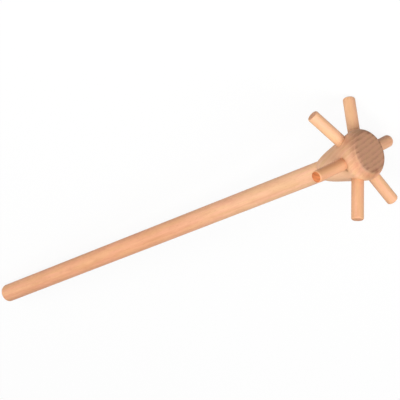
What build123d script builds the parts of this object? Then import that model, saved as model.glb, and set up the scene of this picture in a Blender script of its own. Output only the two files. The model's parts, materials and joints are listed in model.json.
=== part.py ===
"""Wooden twirling whisk: a dowel handle, a turned head and a ring of raked pegs.

Millimetres, +Z up, +X towards the head. The whisk lies on a table: two neighbouring pegs
and the far rim of the handle touch z = 0, so the handle slopes a little. The origin is on
the table, in the middle of the whisk's length and width.
"""
import os
from math import asin, atan2, cos, hypot, pi, radians, sin, sqrt

from build123d import *

# Driving dimensions of the handle
handle_diameter = 10.0
handle_length = 256.0
handle_end_chamfer = 1.0
tenon_shoulder = 1.5
tenon_length = 15.0
tenon_lead = 0.6

# Driving dimensions of the head
head_diameter = 25.0
head_length = 30.0
crown_radius = 6.2
crown_drop = 3.0
neck_step = 0.6
neck_chamfer = 0.25

# Driving dimensions of the pegs
peg_count = 6
peg_diameter = 6.0
peg_reach = 31.0
peg_rake = 5.6
peg_setback = 8.2
peg_end_chamfer = 0.6
peg_lead = 0.4

# Fits in the wood
glue_gap = 0.05
tenon_glue_room = 0.5
socket_wall = 1.2

# Radii that follow from the driving dimensions
handle_radius = handle_diameter / 2
tenon_radius = handle_radius - tenon_shoulder
neck_radius = handle_radius + neck_step
head_radius = head_diameter / 2
face_radius = head_radius - crown_drop
peg_radius = peg_diameter / 2
socket_radius = peg_radius + glue_gap

# Places along the spindle, counted from the point where the pegs' axes meet
face_x = peg_setback
neck_x = face_x - head_length
tenon_end_x = neck_x + tenon_length
handle_end_x = neck_x - handle_length

# A socket stops where a wall is still left between it and the next one.
rake = radians(peg_rake)
half_pitch = pi / peg_count
peg_to_wall = cos(rake) * sin(half_pitch)
peg_seat = (socket_radius * sqrt(1 - peg_to_wall**2) + socket_wall / 2) / peg_to_wall

# The head's outline: its side runs straight from the neck and meets the crown's arc in tangent.
crown_y = head_radius - crown_radius
crown_x = face_x - sqrt(crown_radius**2 - (face_radius - crown_y) ** 2)
neck_to_crown = hypot(crown_x - neck_x, crown_y - neck_radius)
side_slope = atan2(crown_y - neck_radius, crown_x - neck_x) + asin(crown_radius / neck_to_crown)
neck_corner = (neck_x, neck_radius)
side_end = (crown_x - crown_radius * sin(side_slope), crown_y + crown_radius * cos(side_slope))
face_edge = (face_x, face_radius)


def dowel_reach(length, radius, edge, along):
    """How far a dowel's chamfered end reaches in a direction whose cosine to the dowel is along."""
    across = sqrt(1 - along**2)
    return max(length * along + (radius - edge) * across, (length - edge) * along + radius * across)


def peg_drop(tilt):
    """How far a lower peg's tip reaches below the point where the pegs' axes meet."""
    along = cos(rake) * cos(half_pitch) * cos(tilt) + sin(rake) * sin(tilt)
    return dowel_reach(peg_reach, peg_radius, peg_end_chamfer, along)


def handle_drop(tilt):
    """How far the handle's free end reaches below that same point."""
    return dowel_reach(-handle_end_x, handle_radius, handle_end_chamfer, sin(tilt))


def rest_tilt():
    """Slope of the spindle at which the pegs and the handle's end touch the table together."""
    low = 0.0
    high = pi / 3
    for _ in range(60):
        middle = (low + high) / 2
        if handle_drop(middle) < peg_drop(middle):
            low = middle
        else:
            high = middle
    return middle


tilt = rest_tilt()

# The whisk's two ends along X set the middle of its length.
front_reach = face_x * cos(tilt) + face_radius * sin(tilt)
back_reach = dowel_reach(-handle_end_x, handle_radius, handle_end_chamfer, cos(tilt))
ring_centre = ((back_reach - front_reach) / 2, 0, peg_drop(tilt))

# Turned profiles lie on this plane: its x runs along the spindle and its y is the radius.
turning = Plane(origin=ring_centre, x_dir=(cos(tilt), 0, sin(tilt)), z_dir=(0, -1, 0))
spindle = Axis(turning.origin, turning.x_dir)
downwards = -turning.y_dir


def peg_plane(number, distance):
    """Plane square to a numbered peg, facing outwards, at a distance along the peg's axis."""
    radial = downwards.rotate(spindle, (number - 0.5) * 360 / peg_count)
    outwards = radial * cos(rake) - spindle.direction * sin(rake)
    return Plane(origin=spindle.position + outwards * distance, z_dir=outwards)


peg_numbers = range(1, peg_count + 1)
os.makedirs("parts", exist_ok=True)

# Handle: a dowel whose end is turned down to a tenon; its shoulder seats on the head.
with BuildPart() as handle:
    with BuildSketch(turning):
        with BuildLine():
            Polyline(
                (handle_end_x, 0),
                (handle_end_x, handle_radius),
                (neck_x, handle_radius),
                (neck_x, tenon_radius),
                (tenon_end_x, tenon_radius),
                (tenon_end_x, 0),
                close=True,
            )
        make_face()
    revolve(axis=spindle)
    rims = handle.edges().filter_by(GeomType.CIRCLE).sort_by(spindle)
    chamfer(rims[0], handle_end_chamfer)
    chamfer(rims[-1], tenon_lead)
handle.part.label = "handle"
export_step(handle.part, "parts/handle.step")

# Head: a turned pear shape with a flat face, bored for the tenon and drilled for each peg.
with BuildPart() as head:
    with BuildSketch(turning):
        with BuildLine():
            Line((neck_x, 0), neck_corner)
            side = Line(neck_corner, side_end)
            TangentArc(side_end, face_edge, tangent=side % 1)
            Polyline(face_edge, (face_x, 0), (neck_x, 0))
        make_face()
    revolve(axis=spindle)
    rims = head.edges().filter_by(GeomType.CIRCLE).sort_by(spindle)
    chamfer(rims[0], neck_chamfer)
    with Locations(Plane(origin=spindle.position + spindle.direction * neck_x, z_dir=-spindle.direction)):
        Hole(tenon_radius + glue_gap, tenon_length + tenon_glue_room)
    with Locations(*[peg_plane(number, peg_reach) for number in peg_numbers]):
        Hole(socket_radius, peg_reach - peg_seat)
head.part.label = "head"
export_step(head.part, "parts/head.step")

# Pegs: short dowels, each seated on the bottom of its own blind socket.
for number in peg_numbers:
    seat = peg_plane(number, peg_seat)
    with BuildPart() as peg:
        with BuildSketch(seat):
            Circle(peg_radius)
        extrude(amount=peg_reach - peg_seat)
        rims = peg.edges().filter_by(GeomType.CIRCLE).sort_by(Axis(seat.origin, seat.z_dir))
        chamfer(rims[0], peg_lead)
        chamfer(rims[-1], peg_end_chamfer)
    peg.part.label = f"peg_{number}"
    export_step(peg.part, f"parts/peg_{number}.step")
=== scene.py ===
# %% [markdown]
# # A wooden twirling whisk
# A twirling whisk is spun between the palms to whip or stir. It is made of eight pieces of bare beech:
# a dowel handle, a turned head, and six short pegs glued into sockets round the head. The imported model
# is loaded first and stays fixed. Every piece made here takes its place from it.

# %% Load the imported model
import json
from math import asin, atan2, cos, hypot, pi, radians, sin, sqrt

import bmesh
import bpy
from mathutils import Matrix, Vector


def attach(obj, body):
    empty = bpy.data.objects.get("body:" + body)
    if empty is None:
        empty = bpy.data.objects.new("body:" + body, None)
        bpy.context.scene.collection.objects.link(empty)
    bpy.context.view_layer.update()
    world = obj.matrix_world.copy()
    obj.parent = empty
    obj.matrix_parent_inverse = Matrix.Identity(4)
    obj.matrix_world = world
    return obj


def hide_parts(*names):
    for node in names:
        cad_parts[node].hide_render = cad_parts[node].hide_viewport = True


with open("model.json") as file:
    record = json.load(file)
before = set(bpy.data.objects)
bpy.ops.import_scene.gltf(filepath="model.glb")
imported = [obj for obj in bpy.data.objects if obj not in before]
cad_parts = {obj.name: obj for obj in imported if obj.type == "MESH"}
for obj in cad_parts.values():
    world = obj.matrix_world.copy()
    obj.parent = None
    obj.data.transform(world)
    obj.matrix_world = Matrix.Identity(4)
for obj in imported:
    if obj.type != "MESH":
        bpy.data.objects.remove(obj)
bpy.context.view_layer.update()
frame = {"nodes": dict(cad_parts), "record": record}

MM = 0.001
scene = bpy.context.scene
scene.view_settings.view_transform = "Standard"
print("nodes:", sorted(frame["nodes"]))

# %% [markdown]
# ## The camera
# The camera that fits the photograph looks down on the whisk from beyond its head, and is rolled nearly
# upside down. A camera could be placed by its coordinates, but an aim, a direction, a distance and a roll
# say more to a reader, so the camera is built from those.

# %% Camera
CAMERA_LENS_MM = 153.15
SENSOR_MM = 36.0
CAMERA_AZIMUTH = radians(121.756)
CAMERA_ELEVATION = radians(41.876)
CAMERA_ROLL = radians(-158.031)
CAMERA_DISTANCE = 901.5 * MM
CAMERA_AIM = Vector((15.06, -1.12, 0)) * MM

camera = bpy.data.objects.new("camera", bpy.data.cameras.new("camera"))
scene.collection.objects.link(camera)
camera.data.lens = CAMERA_LENS_MM
camera.data.sensor_width = SENSOR_MM
camera_turn = (
    Matrix.Rotation(CAMERA_AZIMUTH, 4, "Z")
    @ Matrix.Rotation(pi / 2 - CAMERA_ELEVATION, 4, "X")
    @ Matrix.Rotation(CAMERA_ROLL, 4, "Z")
)
stand_back = Matrix.Translation((0, 0, CAMERA_DISTANCE))
camera.matrix_world = Matrix.Translation(CAMERA_AIM) @ camera_turn @ stand_back
scene.camera = camera
print("camera at", [round(value, 3) for value in camera.matrix_world.translation])

# %% [markdown]
# ## Small tools for shader nodes
# A finish is a chain of nodes, and in the editor each one is added, set and linked by hand. In a script
# a few short functions do the same. Each one adds a node and gives back what comes out of it, so that a
# finish reads like a sum.

# %% Node helpers
def add_node(tree, kind, inputs=None, **options):
    """Add a shader node, set its options, and link its inputs or give them values."""
    node = tree.nodes.new("ShaderNode" + kind)
    for option, value in options.items():
        setattr(node, option, value)
    for name, value in (inputs or {}).items():
        if isinstance(value, bpy.types.NodeSocket):
            tree.links.new(value, node.inputs[name])
        else:
            node.inputs[name].default_value = value
    return node


def calculate(tree, operation, first, second=0.0, third=0.0):
    """The result of one Math node."""
    return add_node(tree, "Math", {0: first, 1: second, 2: third}, operation=operation).outputs[0]


def ease(tree, value, start, end):
    """A smooth step from 0 at start to 1 at end."""
    inputs = {"Value": value, "From Min": start, "From Max": end}
    return add_node(tree, "MapRange", inputs, interpolation_type="SMOOTHSTEP").outputs["Result"]


def near(tree, distance, close, far):
    """A mask of 1 where a distance is small, which fades to 0."""
    return calculate(tree, "SUBTRACT", 1.0, ease(tree, distance, close, far))


def between(tree, value, rise, fall):
    """A mask that eases up to 1 over one range of a value and down to 0 again over a later one."""
    return calculate(tree, "SUBTRACT", ease(tree, value, *rise), ease(tree, value, *fall))


def add_up(tree, total, weights, values):
    """A total, with the named values added to it, each times its weight."""
    for name, weight in weights.items():
        total = calculate(tree, "MULTIPLY_ADD", values[name], weight, total)
    return total


def blend_colours(tree, amount, first, second, blend_type="MIX"):
    """Mix two colours by an amount from 0 to 1."""
    inputs = {0: amount, 6: first, 7: second}
    return add_node(tree, "Mix", inputs, data_type="RGBA", blend_type=blend_type).outputs[2]


def shade_wood(tree, mask, strength, colour, shade):
    """Darken a colour by a shade where a mask says so."""
    amount = calculate(tree, "MULTIPLY", mask, strength)
    return blend_colours(tree, amount, colour, (*shade, 1), "MULTIPLY")


# %% [markdown]
# ## Floor and background
# The photograph is cut out on white. A white floor under plain light still looks grey, so rays that come
# straight from the camera, or by way of a reflection, see mostly a white of strength 1. The rest of what
# they see is the floor's own shaded surface, which keeps a faint shadow under the whisk. Rays that carry
# light meet a grey floor instead, because a white one would light the undersides too much.

# %% Floor and world
FLOOR_SIDE = 6.0
FLOOR_WHITE = 0.95
FLOOR_BOUNCE = 0.28
SHADOW_SHARE = 0.10
WORLD_LEVEL = 0.14


def grey(level):
    """A grey with its alpha."""
    return (level, level, level, 1)


def seen_directly(tree):
    """A value of 1 for camera, mirror and see-through rays, and 0 for rays that carry light."""
    rays = add_node(tree, "LightPath").outputs
    mirrored = calculate(tree, "MAXIMUM", rays["Is Camera Ray"], rays["Is Glossy Ray"])
    return calculate(tree, "MAXIMUM", mirrored, rays["Is Transmission Ray"])


def make_floor():
    """A large plane at the height of the table."""
    bm = bmesh.new()
    bmesh.ops.create_grid(bm, x_segments=1, y_segments=1, size=FLOOR_SIDE / 2)
    mesh = bpy.data.meshes.new("floor")
    bm.to_mesh(mesh)
    bm.free()
    floor = bpy.data.objects.new("floor", mesh)
    scene.collection.objects.link(floor)
    material = bpy.data.materials.new("white_table")
    material.use_nodes = True
    mesh.materials.append(material)
    tree = material.node_tree
    tree.nodes.clear()
    seen = seen_directly(tree)
    paper = blend_colours(tree, seen, grey(FLOOR_BOUNCE), grey(FLOOR_WHITE))
    surface = add_node(tree, "BsdfDiffuse", {"Color": paper}).outputs[0]
    glow = add_node(tree, "Emission", {"Color": grey(1.0), "Strength": 1.0}).outputs[0]
    share = calculate(tree, "MULTIPLY", seen, 1 - SHADOW_SHARE)
    mixed = add_node(tree, "MixShader", {0: share, 1: surface, 2: glow}).outputs[0]
    add_node(tree, "OutputMaterial", {"Surface": mixed})
    return floor


def make_world():
    """White where it is seen, and a plain even light where it lights the whisk."""
    world = bpy.data.worlds.new("studio")
    world.use_nodes = True
    tree = world.node_tree
    tree.nodes.clear()
    fill = add_node(tree, "Background", {"Color": grey(1.0), "Strength": WORLD_LEVEL}).outputs[0]
    white = add_node(tree, "Background", {"Color": grey(1.0), "Strength": 1.0}).outputs[0]
    mixed = add_node(tree, "MixShader", {0: seen_directly(tree), 1: fill, 2: white}).outputs[0]
    add_node(tree, "OutputWorld", {"Surface": mixed})
    return world


floor = make_floor()
scene.world = make_world()
print("floor", floor.name, FLOOR_SIDE, "m wide, world level", WORLD_LEVEL)

# %% [markdown]
# ## The spindle
# The handle, the head and the pegs all turn about one line, the spindle. Its direction and the middle of
# the head's flat face are mounts in the record, so they are read from there. Lengths along the spindle
# are counted in millimetres from the point where the pegs' axes meet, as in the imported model.

# %% Spindle
FACE_X = 8.2

mounts = {mount["name"]: mount for mount in frame["record"]["mounts"]}
HANDLE_RADIUS = mounts["handle_grip"]["dims"]["r_mm"]
spindle = Vector(mounts["head_face"]["axis"]).normalized()
face_centre = Vector(mounts["head_face"]["pos_m"])
ring_centre = face_centre - spindle * FACE_X * MM


def placement(origin, along, across):
    """Matrix from a piece's own millimetres, x along it, to metres in the model's frame."""
    turn = Matrix((along, across, along.cross(across))).transposed().to_4x4()
    return Matrix.Translation(origin) @ turn @ Matrix.Scale(MM, 4)


spindle_place = placement(ring_centre, spindle, Vector((0, 1, 0)))
print("spindle", [round(value, 4) for value in spindle])
print("ring centre", [round(value, 4) for value in ring_centre])

# %% [markdown]
# ## Lights
# The photograph has hardly any shadows: the handle is as bright along its edges as along its middle, so
# light probably reached it from several sides, as in a light tent. Spot lamps would throw hard shadows,
# so four large disks are used, one in front, one on each side and a weak one behind. The larger a lamp
# is, the softer its shade. They are only as strong as it takes for a colour to look about as written.

# %% Lamps
LAMP_DISTANCE = 1.2
LAMP_WIDTH = 0.8


def add_lamp(name, direction, watts):
    """A round area lamp that points at the ring of pegs from a direction."""
    lamp = bpy.data.objects.new(name, bpy.data.lights.new(name, "AREA"))
    scene.collection.objects.link(lamp)
    lamp.data.shape = "DISK"
    lamp.data.size = LAMP_WIDTH
    lamp.data.energy = watts
    towards = Vector(direction).normalized()
    lamp.location = ring_centre + towards * LAMP_DISTANCE
    lamp.rotation_euler = towards.to_track_quat("Z", "Y").to_euler()
    print(name, "at", [round(value, 2) for value in lamp.location])


add_lamp("front_lamp", direction=(0.41, 0.23, 0.88), watts=7.2)
add_lamp("right_lamp", direction=(0.73, -0.42, 0.53), watts=8.2)
add_lamp("left_lamp", direction=(0.0, 0.85, 0.53), watts=6.2)
add_lamp("back_lamp", direction=(-0.73, 0.42, 0.53), watts=2.8)

# %% [markdown]
# ## Turned pieces
# All eight pieces come off a lathe or a dowel mill, so all are round about one line. A cylinder could be
# scaled and pushed into shape, but a turner works from a profile: half of the outline, spun about the
# axis. The profile is a chain of edges in millimetres, and its rims are bevelled afterwards, because a
# rim that was sanded by hand is never sharp.

# %% Helpers for turning
MERGE_DISTANCE = 0.001
RIM_TOLERANCE = 0.01


def extend_profile(bm, last, points):
    """Extrude a chain of edges from its last vertex through points given as (x, radius)."""
    for x, radius in points:
        added = bmesh.ops.extrude_vert_indiv(bm, verts=[last])
        last = added["verts"][0]
        last.co = (x, radius, 0)
    return last


def spin_profile(bm, last, centre, angle, steps):
    """Carry a chain of edges on by an arc: its last vertex, spun clockwise about a centre."""
    spun = bmesh.ops.spin(bm, geom=[last], cent=centre, axis=(0, 0, 1), angle=-angle, steps=steps)
    return [item for item in spun["geom_last"] if isinstance(item, bmesh.types.BMVert)][0]


def turn_profile(bm, steps):
    """Spin the chain of edges about the x axis and close the seam and the poles."""
    chain = bm.verts[:] + bm.edges[:]
    bmesh.ops.spin(
        bm, geom=chain, cent=(0, 0, 0), axis=(1, 0, 0), angle=2 * pi, steps=steps, use_merge=True,
    )
    bmesh.ops.remove_doubles(bm, verts=bm.verts[:], dist=MERGE_DISTANCE)
    bmesh.ops.recalc_face_normals(bm, faces=bm.faces[:])


def rim_edges(bm, x, radius):
    """The edges of the circle at one place along the axis."""
    def on_rim(vert):
        off_radius = abs(hypot(vert.co.y, vert.co.z) - radius)
        return abs(vert.co.x - x) < RIM_TOLERANCE and off_radius < RIM_TOLERANCE
    return [edge for edge in bm.edges if on_rim(edge.verts[0]) and on_rim(edge.verts[1])]


def ease_rim(bm, x, radius, width, segments):
    """Round a rim over as it is after sanding."""
    bmesh.ops.bevel(
        bm, geom=rim_edges(bm, x, radius), offset=width, offset_type="OFFSET", affect="EDGES",
        segments=segments, profile=0.5, material=-1,
    )


def cut_across(bm, longest, cuts):
    """Divide the edges that run along the axis and are longer than a given length."""
    edges = [edge for edge in bm.edges if abs(edge.verts[0].co.x - edge.verts[1].co.x) > longest]
    bmesh.ops.subdivide_edges(bm, edges=edges, cuts=cuts, use_grid_fill=True)


# %% [markdown]
# ### From a mesh to a piece of the whisk
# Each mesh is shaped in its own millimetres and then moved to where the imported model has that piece. The
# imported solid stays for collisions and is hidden. Smooth shading is kept off edges sharper than a limit,
# so that flat ends stay flat.

# %% Helper that places a piece
SHARP_ANGLE = radians(30)


def place_piece(name, node_name, bm, place):
    """Move a finished mesh into the model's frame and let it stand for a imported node."""
    bmesh.ops.transform(bm, matrix=place, verts=bm.verts[:])
    for face in bm.faces:
        face.smooth = True
    for edge in bm.edges:
        edge.smooth = edge.calc_face_angle(0) < SHARP_ANGLE
    mesh = bpy.data.meshes.new(name)
    bm.to_mesh(mesh)
    bm.free()
    piece = bpy.data.objects.new(name, mesh)
    scene.collection.objects.link(piece)
    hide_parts(node_name)
    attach(piece, "root")
    print(name, "stands for", node_name, "with", len(mesh.polygons), "faces")
    return piece


# %% [markdown]
# ## The handle
# The handle is a plain dowel. Its far end is rounded over, and its near end is turned down to a tenon
# that sits glued in the head, with the shoulder against the head's neck. One profile gives the dowel,
# the shoulder and the tenon, and cuts along its length keep its long faces from being thin slivers.

# %% Handle
HANDLE_LENGTH = 256.0
HEAD_LENGTH = 30.0
TENON_RADIUS = 3.5
TENON_LENGTH = 15.0
END_ROUNDING = 1.0
SHOULDER_ROUNDING = 0.15
TENON_LEAD = 0.6
HANDLE_SIDES = 96
HANDLE_CUTS = 60
NECK_X = FACE_X - HEAD_LENGTH
HANDLE_END_X = NECK_X - HANDLE_LENGTH
TENON_END_X = NECK_X + TENON_LENGTH

handle_mesh = bmesh.new()
first = handle_mesh.verts.new((HANDLE_END_X, 0, 0))
outline = [
    (HANDLE_END_X, HANDLE_RADIUS), (NECK_X, HANDLE_RADIUS),
    (NECK_X, TENON_RADIUS), (TENON_END_X, TENON_RADIUS), (TENON_END_X, 0),
]
extend_profile(handle_mesh, first, outline)
turn_profile(handle_mesh, HANDLE_SIDES)
ease_rim(handle_mesh, HANDLE_END_X, HANDLE_RADIUS, END_ROUNDING, segments=6)
ease_rim(handle_mesh, NECK_X, HANDLE_RADIUS, SHOULDER_ROUNDING, segments=2)
ease_rim(handle_mesh, TENON_END_X, TENON_RADIUS, TENON_LEAD, segments=2)
cut_across(handle_mesh, HANDLE_LENGTH / 2, HANDLE_CUTS)
handle = place_piece("handle_dowel", "handle", handle_mesh, spindle_place)

# %% [markdown]
# ## The head
# The head is turned from one block: a side that swells from the neck, a rounded crown, and a flat face. The
# packed head's side is straight all the way. In the photograph it is about half a millimetre fuller behind
# the pegs, so here it leaves the neck in an arc and runs on straight. Each arc is a point spun through part
# of a turn, and has the straight side as its tangent, so there is no kink. The only break is where the
# crown meets the face, and sanding has eased it.

# %% Head blank
HEAD_RADIUS = 12.5
FACE_RADIUS = 9.5
CROWN_RADIUS = 6.2
NECK_STEP = 0.6
NECK_RADIUS = HANDLE_RADIUS + NECK_STEP
NECK_ROUNDING = 0.25
FACE_ROUNDING = 0.9
SIDE_FULLNESS = 0.6
SWELL_LENGTH = 7.0
SWELL_STEPS = 12
SIDE_STEPS = 12
CROWN_STEPS = 20
HEAD_SIDES = 144
FACE_RINGS = (8.0, 6.0, 4.0, 2.0, 0)

crown_y = HEAD_RADIUS - CROWN_RADIUS
crown_x = FACE_X - sqrt(CROWN_RADIUS**2 - (FACE_RADIUS - crown_y) ** 2)
crown_centre = Vector((crown_x, crown_y, 0))
neck_corner = Vector((NECK_X, NECK_RADIUS, 0))
face_edge = Vector((FACE_X, FACE_RADIUS, 0))
side_start = neck_corner + Vector((0, SIDE_FULLNESS, 0))
to_crown = crown_centre - side_start
side_slope = atan2(to_crown.y, to_crown.x) + asin(CROWN_RADIUS / to_crown.length)
side_way = Vector((cos(side_slope), sin(side_slope), 0))
side_normal = Vector((-sin(side_slope), cos(side_slope), 0))
crown_start = crown_centre + CROWN_RADIUS * side_normal
crown_turn = (crown_start - crown_centre).angle(face_edge - crown_centre)
swell_end = side_start + SWELL_LENGTH * side_way
to_neck = neck_corner - swell_end
swell_radius = to_neck.length_squared / (-2 * to_neck.dot(side_normal))
swell_centre = swell_end - swell_radius * side_normal
swell_turn = (neck_corner - swell_centre).angle(swell_end - swell_centre)

head_mesh = bmesh.new()
first = head_mesh.verts.new((NECK_X, 0, 0))
last = extend_profile(head_mesh, first, [neck_corner.xy])
last = spin_profile(head_mesh, last, swell_centre, swell_turn, SWELL_STEPS)
side = [swell_end.lerp(crown_start, step / SIDE_STEPS).xy for step in range(1, SIDE_STEPS + 1)]
last = extend_profile(head_mesh, last, side)
last = spin_profile(head_mesh, last, crown_centre, crown_turn, CROWN_STEPS)
print("swell of radius", round(swell_radius, 1), "mm; the crown's arc misses the face's edge by",
      round((last.co - face_edge).length, 5), "mm")
extend_profile(head_mesh, last, [(FACE_X, radius) for radius in FACE_RINGS])
turn_profile(head_mesh, HEAD_SIDES)
ease_rim(head_mesh, NECK_X, NECK_RADIUS, NECK_ROUNDING, segments=3)
ease_rim(head_mesh, FACE_X, FACE_RADIUS, FACE_ROUNDING, segments=5)
print("crown turns through", round(crown_turn * 180 / pi, 1), "degrees,", len(head_mesh.faces), "faces")

# %% [markdown]
# ### Sockets and bore
# Six blind sockets are drilled round the head, each raked back a little, and one bore runs in from the
# neck for the tenon. Holes could be modelled into the profile's mesh by hand, but a drill is a cylinder
# that takes wood away, which is just what a Boolean does. The drills are deleted once they have cut. The
# slivers that a Boolean leaves where edges nearly meet are merged away, and its many-sided faces are split
# into triangles. A socket stops where a wall is still left between it and its neighbours.

# %% Drills
PEG_COUNT = 6
PEG_RADIUS = 3.0
PEG_REACH = 31.0
PEG_RAKE = radians(5.6)
GLUE_GAP = 0.05
SOCKET_WALL = 1.2
TENON_GLUE_ROOM = 0.5
DRILL_SIDES = 96

socket_radius = PEG_RADIUS + GLUE_GAP
peg_to_wall = cos(PEG_RAKE) * sin(pi / PEG_COUNT)
PEG_SEAT = (socket_radius * sqrt(1 - peg_to_wall**2) + SOCKET_WALL / 2) / peg_to_wall


def peg_direction(number):
    """Where a numbered peg points, in the spindle's millimetres: x along it, z up, y sideways."""
    angle = (number - 0.5) * 2 * pi / PEG_COUNT
    radial = Vector((0, sin(angle), -cos(angle)))
    return radial * cos(PEG_RAKE) - Vector((1, 0, 0)) * sin(PEG_RAKE)


def make_drill(start, direction, length, radius):
    """A cylinder that starts at a point and runs along a direction."""
    bm = bmesh.new()
    turn = direction.to_track_quat("Z", "Y").to_matrix().to_4x4()
    middle = Matrix.Translation(start + direction * length / 2)
    bmesh.ops.create_cone(
        bm, cap_ends=True, segments=DRILL_SIDES, radius1=radius, radius2=radius, depth=length,
        matrix=middle @ turn,
    )
    mesh = bpy.data.meshes.new("drill")
    bm.to_mesh(mesh)
    bm.free()
    drill = bpy.data.objects.new("drill", mesh)
    scene.collection.objects.link(drill)
    return drill


print("sockets stop", round(PEG_SEAT, 3), "mm from the spindle")


# %% Drill the head
SLIVER = 0.02


def drill_out(bm, drills):
    """Cut the drills out of a mesh and return what is left, without slivers or many-sided faces."""
    blank = bpy.data.objects.new("blank", bpy.data.meshes.new("blank"))
    bm.to_mesh(blank.data)
    bm.free()
    scene.collection.objects.link(blank)
    for drill in drills:
        cut = blank.modifiers.new("cut", "BOOLEAN")
        cut.operation = "DIFFERENCE"
        cut.solver = "EXACT"
        cut.object = drill
    bpy.context.view_layer.update()
    depsgraph = bpy.context.evaluated_depsgraph_get()
    left = bpy.data.meshes.new_from_object(blank.evaluated_get(depsgraph))
    for used in drills + [blank]:
        bpy.data.objects.remove(used, do_unlink=True)
    cut_mesh = bmesh.new()
    cut_mesh.from_mesh(left)
    bpy.data.meshes.remove(left)
    bmesh.ops.remove_doubles(cut_mesh, verts=cut_mesh.verts[:], dist=SLIVER)
    many_sided = [face for face in cut_mesh.faces if len(face.verts) > 4]
    bmesh.ops.triangulate(cut_mesh, faces=many_sided, ngon_method="BEAUTY")
    return cut_mesh


drills = []
for number in range(1, PEG_COUNT + 1):
    direction = peg_direction(number)
    drills.append(make_drill(direction * PEG_SEAT, direction, PEG_REACH, socket_radius))
bore_end = Vector((TENON_END_X + TENON_GLUE_ROOM, 0, 0))
drills.append(make_drill(bore_end, Vector((-1, 0, 0)), HEAD_LENGTH, TENON_RADIUS + GLUE_GAP))
head_mesh = drill_out(head_mesh, drills)
head = place_piece("turned_head", "head", head_mesh, spindle_place)

# %% [markdown]
# ## The pegs
# Each peg is a short dowel, seated on the bottom of its socket. All six have one shape, so one function
# turns a peg and lays it along its own direction. The outer rim is rounded, the hidden one has a lead.

# %% Pegs
PEG_ROUNDING = 0.8
PEG_LEAD = 0.4
PEG_END_RING = 0.45 * PEG_RADIUS
PEG_SIDES = 72
PEG_CUTS = 12


def peg_place(number):
    """Matrix from a peg's own millimetres to the model's frame, with x outwards along the peg."""
    outwards = (spindle_place.to_3x3() @ peg_direction(number)).normalized()
    across = outwards.cross(spindle).normalized()
    return placement(ring_centre, outwards, across)


def make_peg(number):
    """Turn one peg and put it in its socket."""
    bm = bmesh.new()
    first = bm.verts.new((PEG_SEAT, 0, 0))
    outline = [
        (PEG_SEAT, PEG_RADIUS), (PEG_REACH, PEG_RADIUS), (PEG_REACH, PEG_END_RING), (PEG_REACH, 0),
    ]
    extend_profile(bm, first, outline)
    turn_profile(bm, PEG_SIDES)
    ease_rim(bm, PEG_SEAT, PEG_RADIUS, PEG_LEAD, segments=2)
    ease_rim(bm, PEG_REACH, PEG_RADIUS, PEG_ROUNDING, segments=6)
    cut_across(bm, (PEG_REACH - PEG_SEAT) / 2, PEG_CUTS)
    return place_piece(f"peg_{number}_dowel", f"peg_{number}", bm, peg_place(number))


pegs = {number: make_peg(number) for number in range(1, PEG_COUNT + 1)}

# %% [markdown]
# ## Beech
# Everything is taken as bare beech. Beech shows faint growth rings, fine fibres along the grain, and many
# short brown flecks where its rays come to the surface. Where the grain is cut across, on the flat face and
# the ends of the pegs, the wood is darker and the rings stand out as stripes. A picture of wood would show
# the same grain on every side. A solid pattern in the piece's own millimetres runs through the wood, so
# the stripes on the face carry on over the crown, as they do in the photograph.
#
# All pieces share one shader group. It is put together from three functions: the growth rings, the
# colour of the wood along the grain, and the colour where the grain is cut across.

# %% Growth rings
NOISE_ROUGHNESS = 0.55
RING_WANDER = 2.4
RING_RAGGEDNESS = 1.1
LATE_SEASON = ((0.30, 0.75), (0.86, 1.0))
SPRING_SEASON = ((0.0, 0.1), (0.12, 0.36))
LEAST_VIGOUR = 0.6
VIGOUR_RANGE = 0.5


def stretch(tree, place, lengthwise, crosswise):
    """A place scaled by one factor along the grain and by another across it."""
    scale = (lengthwise, crosswise, crosswise)
    return add_node(tree, "VectorMath", {0: place, 1: scale}, operation="MULTIPLY").outputs[0]


def stretched_noise(tree, place, lengthwise, crosswise, detail):
    """Noise with its own frequency, per millimetre, along the grain and across it."""
    scaled = stretch(tree, place, lengthwise, crosswise)
    inputs = {"Vector": scaled, "Scale": 1.0, "Detail": detail, "Roughness": NOISE_ROUGHNESS}
    return add_node(tree, "TexNoise", inputs).outputs[0]


def growth_rings(group, place, pith, gap):
    """Where a year's late wood is, and where its first spring wood is, as two masks."""
    from_pith = add_node(group, "VectorMath", {0: place, 1: pith}, operation="SUBTRACT").outputs[0]
    across = add_node(group, "VectorMath", {0: from_pith, 1: (0, 1, 1)}, operation="MULTIPLY").outputs[0]
    distance = add_node(group, "VectorMath", {0: across}, operation="LENGTH").outputs["Value"]
    wander = stretched_noise(group, place, lengthwise=0.012, crosswise=0.06, detail=2.0)
    distance = calculate(group, "MULTIPLY_ADD", wander, RING_WANDER, distance)
    ragged = stretched_noise(group, place, lengthwise=0.15, crosswise=0.55, detail=2.0)
    distance = calculate(group, "MULTIPLY_ADD", ragged, RING_RAGGEDNESS, distance)
    years = calculate(group, "DIVIDE", distance, gap)
    season = calculate(group, "FRACT", years)
    late = between(group, season, *LATE_SEASON)
    spring = between(group, season, *SPRING_SEASON)
    year = calculate(group, "FLOOR", years)
    vigour = add_node(group, "TexWhiteNoise", {"W": year}, noise_dimensions="1D").outputs["Value"]
    vigour = calculate(group, "MULTIPLY_ADD", vigour, VIGOUR_RANGE, LEAST_VIGOUR)
    return calculate(group, "MULTIPLY", late, vigour), spring


# %% [markdown]
# ### Along the grain and across it
# Along the grain, a number says how deep the wood is at each point: fibres, mottling and slow changes of
# tone are noises stretched along the grain, with the rings and the ray flecks on top. Across the grain
# the same rings show as stripes, in some patches more than in others, and the cut vessels are pores.

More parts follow.
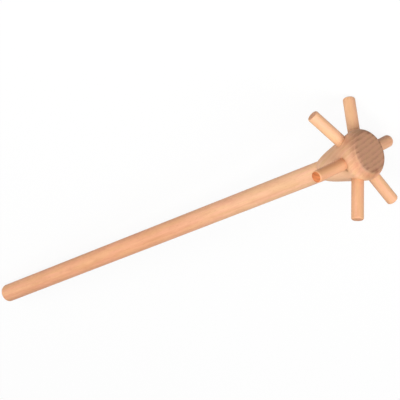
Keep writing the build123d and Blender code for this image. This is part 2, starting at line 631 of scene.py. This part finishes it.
# %% Side grain and end grain
GRAIN_START = -0.85
GRAIN_WEIGHTS = {"fibre": 0.6, "mottle": 0.8, "tone": 0.7, "fine": 0.25, "fleck": 0.35}
GRAIN_RANGE = (-0.1, 1.1)
LEAST_STRIPE = 0.18
STRIPE_RANGE = 0.36
STRIPE_FIBRE = 0.35
STRIPE_SHADE = (0.62, 0.57, 0.53)
PORE_STRENGTH = 0.35
PORE_SHADE = (0.5, 0.42, 0.36)
PORE_FADE = (0.16, 0.34)
FLECK_RANGE = (0.62, 0.71)
PATCH_RANGE = (0.3, 0.7)


def side_grain(group, given, late, noises):
    """Colour of the wood where the surface runs along the grain."""
    depth = add_up(group, GRAIN_START, GRAIN_WEIGHTS, noises)
    depth = calculate(group, "MULTIPLY_ADD", late, given["Ring Strength"], depth)
    return blend_colours(group, ease(group, depth, *GRAIN_RANGE), given["Pale Wood"], given["Deep Wood"])


def end_grain(group, place, given, late, noises):
    """Colour of the wood where the grain is cut across."""
    patches = stretched_noise(group, place, lengthwise=0.10, crosswise=0.30, detail=1.0)
    patch = ease(group, patches, *PATCH_RANGE)
    strength = calculate(group, "MULTIPLY_ADD", patch, STRIPE_RANGE, LEAST_STRIPE)
    shown = calculate(group, "MULTIPLY", late, strength)
    stripe = calculate(group, "MULTIPLY_ADD", noises["fine"], STRIPE_FIBRE, shown)
    colour = shade_wood(group, stripe, 1.0, given["End Wood"], STRIPE_SHADE)
    return shade_wood(group, noises["pore"], PORE_STRENGTH, colour, PORE_SHADE)


def wood_noises(group, place):
    """The patterns that colour, roughness and relief have in common."""
    pore_inputs = {"Vector": stretch(group, place, lengthwise=0.4, crosswise=4.2), "Scale": 1.0}
    to_pore = add_node(group, "TexVoronoi", pore_inputs).outputs["Distance"]
    flecks = stretched_noise(group, place, lengthwise=0.42, crosswise=3.4, detail=1.0)
    return {
        "fibre": stretched_noise(group, place, lengthwise=0.05, crosswise=1.3, detail=3.0),
        "fine": stretched_noise(group, place, lengthwise=0.30, crosswise=7.0, detail=2.0),
        "tone": stretched_noise(group, place, lengthwise=0.018, crosswise=0.11, detail=1.0),
        "mottle": stretched_noise(group, place, lengthwise=0.09, crosswise=0.35, detail=2.0),
        "fleck": ease(group, flecks, *FLECK_RANGE),
        "pore": near(group, to_pore, *PORE_FADE),
    }


# %% [markdown]
# ### The group
# The group blends the two colours by how far the surface is end grain, and lets the tint drift between
# a pinker and a yellower one, as bare beech does. It also puts out where the late wood and the spring
# wood lie, so that a finish can bring them out.

# %% The beech group
PINK_TINT = (1.0, 0.94, 0.965, 1)
YELLOW_TINT = (0.98, 1.0, 0.91, 1)
ROUGHNESS = 0.46
FIBRE_ROUGHNESS = 0.16
END_ROUGHNESS = 0.14
HEIGHT_WEIGHTS = {"fibre": 0.5, "fine": 0.6, "fleck": -0.25}
PORE_HEIGHT = -0.7


def make_beech():
    """Shader group that gives colour, roughness and height of beech at a place in millimetres."""
    group = bpy.data.node_groups.new("beech", "ShaderNodeTree")
    inputs = {
        "Place": "Vector", "Pith": "Vector", "Ring Gap": "Float", "Ring Strength": "Float",
        "End Grain": "Float", "Pale Wood": "Color", "Deep Wood": "Color", "End Wood": "Color",
    }
    for name, kind in inputs.items():
        group.interface.new_socket(name, in_out="INPUT", socket_type="NodeSocket" + kind)
    given = group.nodes.new("NodeGroupInput").outputs
    place = given["Place"]
    cut = given["End Grain"]

    late, spring = growth_rings(group, place, given["Pith"], given["Ring Gap"])
    noises = wood_noises(group, place)
    side = side_grain(group, given, late, noises)
    colour = blend_colours(group, cut, side, end_grain(group, place, given, late, noises))
    drift = stretched_noise(group, place, lengthwise=0.05, crosswise=0.45, detail=2.0)
    tint = blend_colours(group, ease(group, drift, *PATCH_RANGE), PINK_TINT, YELLOW_TINT)
    colour = blend_colours(group, 1.0, colour, tint, "MULTIPLY")

    rough = calculate(group, "MULTIPLY_ADD", noises["fine"], FIBRE_ROUGHNESS, ROUGHNESS)
    rough = calculate(group, "MULTIPLY_ADD", cut, END_ROUGHNESS, rough)
    open_pores = calculate(group, "MULTIPLY", noises["pore"], cut)
    height = add_up(group, 0.0, HEIGHT_WEIGHTS, noises)
    height = calculate(group, "MULTIPLY_ADD", open_pores, PORE_HEIGHT, height)

    outputs = {
        "Colour": colour, "Roughness": rough, "Height": height, "Late Wood": late, "Spring Wood": spring,
    }
    for name in outputs:
        kind = "Color" if name == "Colour" else "Float"
        group.interface.new_socket(name, in_out="OUTPUT", socket_type="NodeSocket" + kind)
    result = group.nodes.new("NodeGroupOutput")
    for name, value in outputs.items():
        group.links.new(value, result.inputs[name])
    return group


beech = make_beech()
print("beech group has", len(beech.nodes), "nodes")

# %% [markdown]
# ### One material for each piece
# Every piece was cut from its own bit of a tree, so each one gets its own material: the same group, with
# its own place in the wood, its own pith and its own tone. A Mapping node turns the model's metres into
# the piece's millimetres. The grain runs along the piece, so a surface is end grain where its normal
# points along it.

# %% Wood for one piece
GRAIN_DEPTH = 0.03 * MM
GRAIN_RELIEF = 0.6
SHEEN = 0.4


def start_wood(piece, name):
    """Give a piece a new material and return its node tree."""
    material = bpy.data.materials.new(name)
    material.use_nodes = True
    piece.data.materials.append(material)
    return material.node_tree


def own_millimetres(tree, place):
    """A piece's own millimetres, with x along it, from the matrix that placed it."""
    rigid = place @ Matrix.Scale(1 / MM, 4)
    inputs = {
        "Vector": add_node(tree, "TexCoord").outputs["Object"],
        "Location": rigid.translation,
        "Rotation": rigid.to_euler(),
        "Scale": (MM, MM, MM),
    }
    return add_node(tree, "Mapping", inputs, vector_type="TEXTURE").outputs[0]


def facing_along(tree, place):
    """How squarely the surface faces along a piece: 1 on its outer end, 0 on a side, -1 on its other end."""
    along = (place.to_3x3() @ Vector((1, 0, 0))).normalized()
    normal = add_node(tree, "NewGeometry").outputs["Normal"]
    return add_node(tree, "VectorMath", {0: normal, 1: along}, operation="DOT_PRODUCT").outputs["Value"]


def lay_beech(tree, local, shift, cut, pith, gap, strength, pale, deep, end):
    """Place the beech group in a material, shifted to its own part of the tree."""
    inputs = {
        "Place": add_node(tree, "VectorMath", {0: local, 1: shift}, operation="ADD").outputs[0],
        "End Grain": cut,
        "Pith": Vector(pith) + Vector(shift),
        "Ring Gap": gap,
        "Ring Strength": strength,
        "Pale Wood": (*pale, 1),
        "Deep Wood": (*deep, 1),
        "End Wood": (*end, 1),
    }
    return add_node(tree, "Group", inputs, node_tree=beech).outputs


def finish_wood(tree, colour, roughness, height):
    """Feed the material's shader."""
    shader = tree.nodes["Principled BSDF"]
    bump_inputs = {"Height": height, "Distance": GRAIN_DEPTH, "Strength": GRAIN_RELIEF}
    tree.links.new(colour, shader.inputs["Base Color"])
    tree.links.new(roughness, shader.inputs["Roughness"])
    tree.links.new(add_node(tree, "Bump", bump_inputs).outputs[0], shader.inputs["Normal"])
    shader.inputs["Specular IOR Level"].default_value = SHEEN


# %% [markdown]
# ### Handle finish
# The handle is palest near the head and darker from its middle on. This is painted light: a slow fall-off
# of light along its length, laid over the grain. It fades a little again towards the far end.

# %% Handle wood
PALE_HANDLE = (0.96, 0.575, 0.355)
DEEP_HANDLE = (0.76, 0.40, 0.228)
END_HANDLE = (0.70, 0.36, 0.19)
HANDLE_FALLOFF_SHADE = (0.94, 0.80, 0.72)
FALLOFF_FADE = (-165.0, -40.0)
FAR_END_FADE = (-275.0, -180.0)
FAR_END_LOSS = -0.2
SAWN_FACING = (0.7, 0.97)

tree = start_wood(handle, "handle_beech")
local = own_millimetres(tree, spindle_place)
sawn = ease(tree, calculate(tree, "ABSOLUTE", facing_along(tree, spindle_place)), *SAWN_FACING)
wood = lay_beech(
    tree, local, shift=(310.0, 41.0, 17.0), cut=sawn, pith=(0, 31.0, 22.0), gap=2.3, strength=0.15,
    pale=PALE_HANDLE, deep=DEEP_HANDLE, end=END_HANDLE,
)
along_handle = add_node(tree, "SeparateXYZ", {0: local}).outputs["X"]
# Painted light: darker from the middle of the handle on, as light falls off away from the head.
deeper = near(tree, along_handle, *FALLOFF_FADE)
at_far_end = near(tree, along_handle, *FAR_END_FADE)
deeper = calculate(tree, "MULTIPLY_ADD", at_far_end, FAR_END_LOSS, deeper)
colour = shade_wood(tree, deeper, 1.0, wood["Colour"], HANDLE_FALLOFF_SHADE)
finish_wood(tree, colour, wood["Roughness"], wood["Height"])
print("handle finish has", len(tree.nodes), "nodes")

# %% [markdown]
# ### Head finish
# The face shows end grain with nearly straight stripes, because the tree's pith was far to one side. The
# grain leans a little against the spindle, so on the side nearer the heart of the tree it runs out of the
# surface: there end grain shows before the face begins, and spring wood draws pale lines. That side is
# turned partly down, and painted shade darkens it. Two masks do this: how far a point lies towards the
# heart, and how far the surface faces forward.

# %% Head wood
PALE_HEAD = (0.99, 0.62, 0.385)
DEEP_HEAD = (0.76, 0.41, 0.235)
END_HEAD = (0.58, 0.31, 0.19)
SPRING_HEAD = (0.95, 0.62, 0.42, 1)
HEART_SIDE_PAINTED_SHADE = (0.74, 0.68, 0.64)
CROWN_SHADE = (0.84, 0.66, 0.63)
RING_ANGLE = radians(65)
RING_NORMAL = Vector((0, sin(RING_ANGLE), -cos(RING_ANGLE)))
RING_GAP = 2.2
PITH_DISTANCE = 110.0
GRAIN_TILT = radians(20)
SPRING_STRENGTH = 0.45
HEART_LOSS = -0.85
HEART_RANGE = (-6.0, 9.0)
HEART_FADE = (-40.0, 0.0)
FLAT_FACING = (0.62, 0.84)
SLANT_FACING = (0.2, 0.9)
CROWN_FACING = (-0.2, 0.6)

tree = start_wood(head, "head_beech")
local = own_millimetres(tree, spindle_place)
tilt_axis = Vector((1, 0, 0)).cross(RING_NORMAL)
grain = own_millimetres(tree, spindle_place @ Matrix.Rotation(GRAIN_TILT, 4, tilt_axis))
forward = facing_along(tree, spindle_place)
flat = ease(tree, forward, *FLAT_FACING)
off_face = calculate(tree, "SUBTRACT", 1.0, flat)
heartward = add_node(tree, "VectorMath", {0: local, 1: RING_NORMAL}, operation="DOT_PRODUCT").outputs
heart = ease(tree, heartward["Value"], *HEART_RANGE)
slanted = calculate(tree, "MULTIPLY", ease(tree, forward, *SLANT_FACING), heart)
wood = lay_beech(
    tree, grain, shift=(12.0, 5.0, 61.0), cut=calculate(tree, "MAXIMUM", flat, slanted),
    pith=RING_NORMAL * PITH_DISTANCE, gap=RING_GAP, strength=0.10,
    pale=PALE_HEAD, deep=DEEP_HEAD, end=END_HEAD,
)

axes = add_node(tree, "SeparateXYZ", {0: local}).outputs
heart_side = calculate(tree, "MULTIPLY", heart, off_face)
pale_lines = calculate(tree, "MULTIPLY", wood["Spring Wood"], heart_side)
pale_lines = calculate(tree, "MULTIPLY", pale_lines, SPRING_STRENGTH)
colour = blend_colours(tree, pale_lines, wood["Colour"], SPRING_HEAD)
# Painted shade: the heart side, turned partly down, is darkened, more so towards the crown.
colour = shade_wood(tree, heart_side, ease(tree, axes["X"], *HEART_FADE), colour, HEART_SIDE_PAINTED_SHADE)
crown = calculate(tree, "MULTIPLY", ease(tree, forward, *CROWN_FACING), off_face)
away_from_heart = calculate(tree, "MULTIPLY_ADD", heart, HEART_LOSS, 1.0)
colour = shade_wood(tree, crown, away_from_heart, colour, CROWN_SHADE)
print("the head's stripes are about", RING_GAP, "mm apart")

# %% [markdown]
# ### Marks, painted shade and painted light
# Round each peg the head is darkened with painted shade, where the peg meets it. Six distances could be
# worked out, but folding the angle round the spindle into one sixth of a turn gives the distance to the
# nearest socket's axis at once. A painted shadow darkens the joint beside peg_3 and beside peg_2, and
# between two pegs painted light makes the cone paler. The crown and the rim of the face have a few more
# darker spots, and painted shade darkens a narrow band past the neck. On the rim the open late wood takes
# up dirt. A spot is written as its place, its reach and its shade. The lathe left fine rings, too shallow to
# see from afar.

# %% Marks on the head
SOCKET_RING_SHADE = (0.62, 0.5, 0.42)
SOCKET_RING_STRENGTH = 0.4
SOCKET_RING_REACH = 1.6
PAINTED_LIGHT_PLACE = (-8.0, -0.5, 9.6)
PAINTED_LIGHT_COLOUR = (1.0, 0.585, 0.35, 1)
PAINTED_LIGHT_STRENGTH = 0.8
PAINTED_LIGHT_FADE = (4.0, 10.0)
RIM_SHADE = (0.66, 0.58, 0.54)
RIM_STRENGTH = 0.6
RIM_FADE = (0.4, 1.3)
NECK_SHADE = (0.70, 0.62, 0.56)
NECK_STRENGTH = 0.5
NECK_FADE = (NECK_X + 0.2, NECK_X + 1.5)
LATHE_PITCH = 0.45
LATHE_HEIGHT = 0.10
SPOT_CORE = 0.2
SPOTS = {
    # Painted shadow in the joint at the base of peg_3.
    "painted shadow at peg_3's base": ((-0.4, 2.5, 11.5), 1.3, (0.64, 0.56, 0.50)),
    "darker spot by peg_4": ((6.0, -7.0, 9.3), 5.5, (0.80, 0.78, 0.72)),
    "darker spot on the crown's top": ((6.8, -1.0, 10.9), 4.5, (0.84, 0.88, 0.89)),
    # Painted shadow in the joint at the base of peg_2.
    "painted shadow at peg_2's base": ((4.3, 12.0, 2.8), 3.0, (0.88, 0.75, 0.76)),
    "darker spot on the face's rim": ((7.9, -7.9, 6.0), 2.4, (0.84, 0.72, 0.69)),
}


def distance_to(tree, local, place):
    """How far a point is from a place, both in the piece's millimetres."""
    return add_node(tree, "VectorMath", {0: local, 1: place}, operation="DISTANCE").outputs["Value"]


def other_leg(tree, longest, leg):
    """The second leg of a right triangle from its longest side and its first leg."""
    squares = calculate(tree, "POWER", longest, 2.0), calculate(tree, "POWER", leg, 2.0)
    return calculate(tree, "SQRT", calculate(tree, "MAXIMUM", calculate(tree, "SUBTRACT", *squares), 0.0))


# Painted light: the cone's top between peg_3 and peg_4 is made paler, as if lit more.
painted_light = near(tree, distance_to(tree, local, PAINTED_LIGHT_PLACE), *PAINTED_LIGHT_FADE)
colour = blend_colours(tree, calculate(tree, "MULTIPLY", painted_light, PAINTED_LIGHT_STRENGTH), colour, PAINTED_LIGHT_COLOUR)

from_ring = distance_to(tree, local, (0, 0, 0))
radius = other_leg(tree, from_ring, axes["X"])
angle = calculate(tree, "ARCTAN2", axes["Y"], calculate(tree, "MULTIPLY", axes["Z"], -1.0))
sixth = calculate(tree, "FRACT", calculate(tree, "MULTIPLY_ADD", angle, PEG_COUNT / (2 * pi), PEG_COUNT))
folded = calculate(tree, "MULTIPLY", calculate(tree, "SUBTRACT", sixth, 0.5), 2 * pi / PEG_COUNT)
along_socket = calculate(tree, "MULTIPLY", radius, calculate(tree, "COSINE", folded))
along_socket = calculate(tree, "MULTIPLY", along_socket, cos(PEG_RAKE))
along_socket = calculate(tree, "MULTIPLY_ADD", axes["X"], -sin(PEG_RAKE), along_socket)
# Painted shade round the base of each peg, where it meets the head.
socket_shaded = near(tree, other_leg(tree, from_ring, along_socket), PEG_RADIUS, PEG_RADIUS + SOCKET_RING_REACH)
colour = shade_wood(tree, socket_shaded, SOCKET_RING_STRENGTH, colour, SOCKET_RING_SHADE)

for place, reach, shade in SPOTS.values():
    spot = near(tree, distance_to(tree, local, place), reach * SPOT_CORE, reach)
    colour = shade_wood(tree, spot, 1.0, colour, shade)

flattened = add_node(tree, "CombineXYZ", {"X": axes["X"], "Y": radius}).outputs[0]
rim = near(tree, distance_to(tree, flattened, face_edge), *RIM_FADE)
soiled_rim = calculate(tree, "MULTIPLY", rim, wood["Late Wood"])
colour = shade_wood(tree, soiled_rim, RIM_STRENGTH, colour, RIM_SHADE)
# Painted shade in a narrow band of the head just past the neck, where it meets the handle.
colour = shade_wood(tree, near(tree, axes["X"], *NECK_FADE), NECK_STRENGTH, colour, NECK_SHADE)

lathe = calculate(tree, "SINE", calculate(tree, "MULTIPLY", axes["X"], 2 * pi / LATHE_PITCH))
height = calculate(tree, "MULTIPLY_ADD", lathe, LATHE_HEIGHT, wood["Height"])
finish_wood(tree, colour, wood["Roughness"], height)
print("head finish has", len(tree.nodes), "nodes")

# %% [markdown]
# ### Peg finish
# The pegs are dowels from several sticks, so their tones differ a little, as they do in the photograph.
# Their sawn ends are a deeper orange than the end of the head, one of them most of all. Painted shade
# darkens each peg where it goes into its socket, and peg_3 has painted shade along one side.

# %% Peg wood
PALE_PEG = Vector((0.93, 0.54, 0.325))
DEEP_PEG = Vector((0.78, 0.41, 0.228))
END_PEG = Vector((0.80, 0.50, 0.33))
STAINED_END = Vector((0.80, 0.26, 0.085))
WARMER = Vector((1.0, 0.93, 0.88))
MOUTH_SHADE = (0.75, 0.66, 0.6)
MOUTH_STRENGTH = 0.3
MOUTH_FADE = (12.0, 15.0)
PEG_SAWN_FACING = (0.82, 0.98)
SIDE_PAINTED_SHADE = (0.80, 0.70, 0.63)
SIDE_SHADE_BAND = ((-0.6, 1.6), (2.3, 3.0))
PITH_TURN = 1.9
PEG_PITH_DISTANCE = 26.0
PEG_SHIFT = Vector((53.0, 19.0, 0))
PEG_TONES = (0.97, 0.99, 0.98, 0.90, 1.0, 0.97)
PEG_WARMTHS = (0.2, 0.0, 0.9, 0.8, 0.1, 0.6)
END_STAINS = (0.5, 0.3, 1.0, 0.4, 0.6, 0.5)
SIDE_SHADE_STRENGTHS = (0.0, 0.0, 0.85, 0.0, 0.0, 0.0)

for number, peg in pegs.items():
    tint = Vector((1, 1, 1)).lerp(WARMER, PEG_WARMTHS[number - 1]) * PEG_TONES[number - 1]
    end_wood = END_PEG.lerp(STAINED_END, END_STAINS[number - 1])
    tree = start_wood(peg, f"peg_{number}_beech")
    local = own_millimetres(tree, peg_place(number))
    sawn = ease(tree, facing_along(tree, peg_place(number)), *PEG_SAWN_FACING)
    pith = Vector((0, cos(number * PITH_TURN), sin(number * PITH_TURN))) * PEG_PITH_DISTANCE
    wood = lay_beech(
        tree, local, shift=PEG_SHIFT * number, cut=sawn, pith=pith, gap=1.9, strength=0.12,
        pale=PALE_PEG * tint, deep=DEEP_PEG * tint, end=end_wood,
    )
    axes = add_node(tree, "SeparateXYZ", {0: local}).outputs
    # Painted shade near the mouth of the socket, where the head shades the peg.
    at_mouth = near(tree, axes["X"], *MOUTH_FADE)
    colour = shade_wood(tree, at_mouth, MOUTH_STRENGTH, wood["Colour"], MOUTH_SHADE)
    # Painted shade along the side of peg_3 that is turned away from the light.
    side_shade = between(tree, axes["Y"], *SIDE_SHADE_BAND)
    colour = shade_wood(tree, side_shade, SIDE_SHADE_STRENGTHS[number - 1], colour, SIDE_PAINTED_SHADE)
    finish_wood(tree, colour, wood["Roughness"], wood["Height"])
print("peg finishes:", len(pegs))
